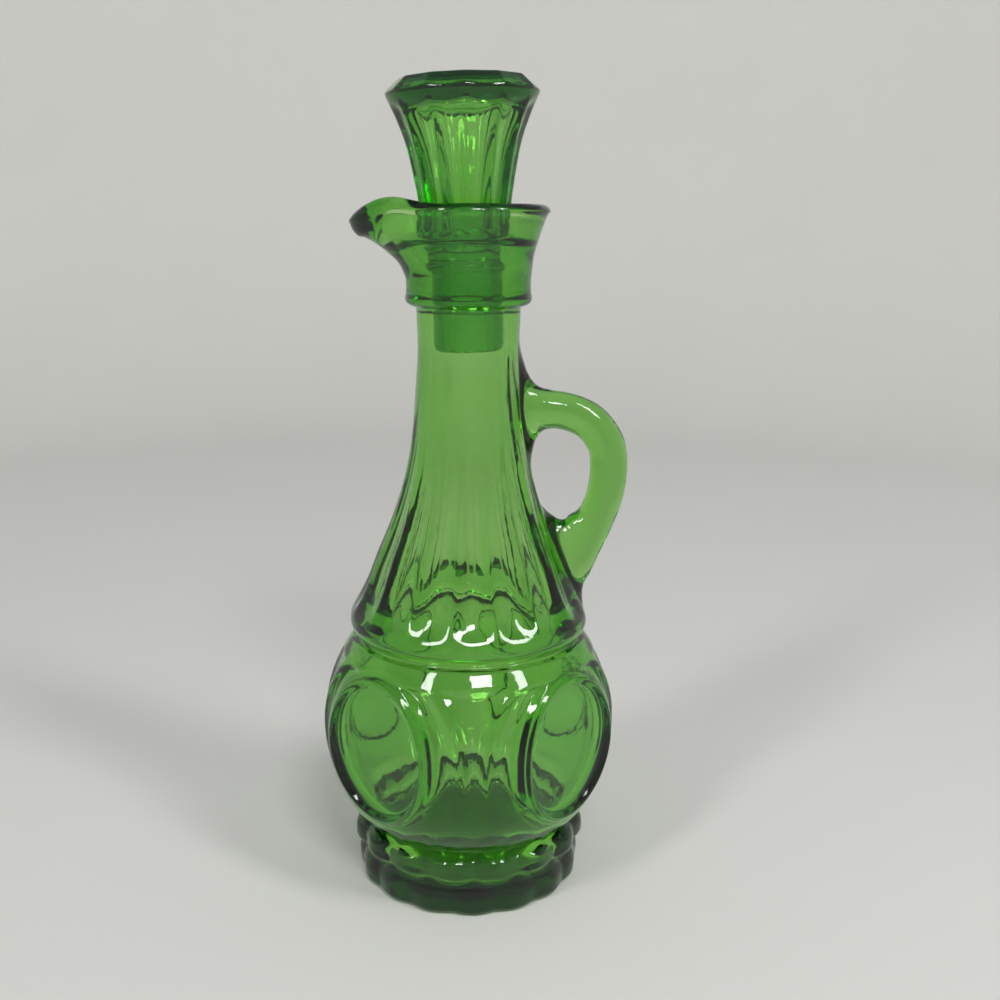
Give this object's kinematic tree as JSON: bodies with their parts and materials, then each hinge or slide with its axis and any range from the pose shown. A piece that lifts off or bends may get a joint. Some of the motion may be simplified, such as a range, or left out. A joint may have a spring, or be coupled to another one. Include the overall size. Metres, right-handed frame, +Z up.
{
  "type": "glass cruet",
  "caption": "Green pressed-glass cruet with a windowed bulb, fluted cone, pouring spout, loop handle and loose fluted stopper, for oil or vinegar.",
  "frame": {"origin": "middle of the flat underside of the foot, on the bottle's axis", "axes": "+Z up along the bottle's axis, -X towards the pouring spout, +X towards the handle"},
  "size_m": [0.0919, 0.0882, 0.2394],
  "materials": {
    "bottle_glass": "clear green pressed glass, fire polished",
    "stopper_glass": "clear green pressed glass, fire polished"
  },
  "bodies": {
    "root": {"bottle": "bottle_glass", "stopper": "stopper_glass"}
  },
  "joints": []
}
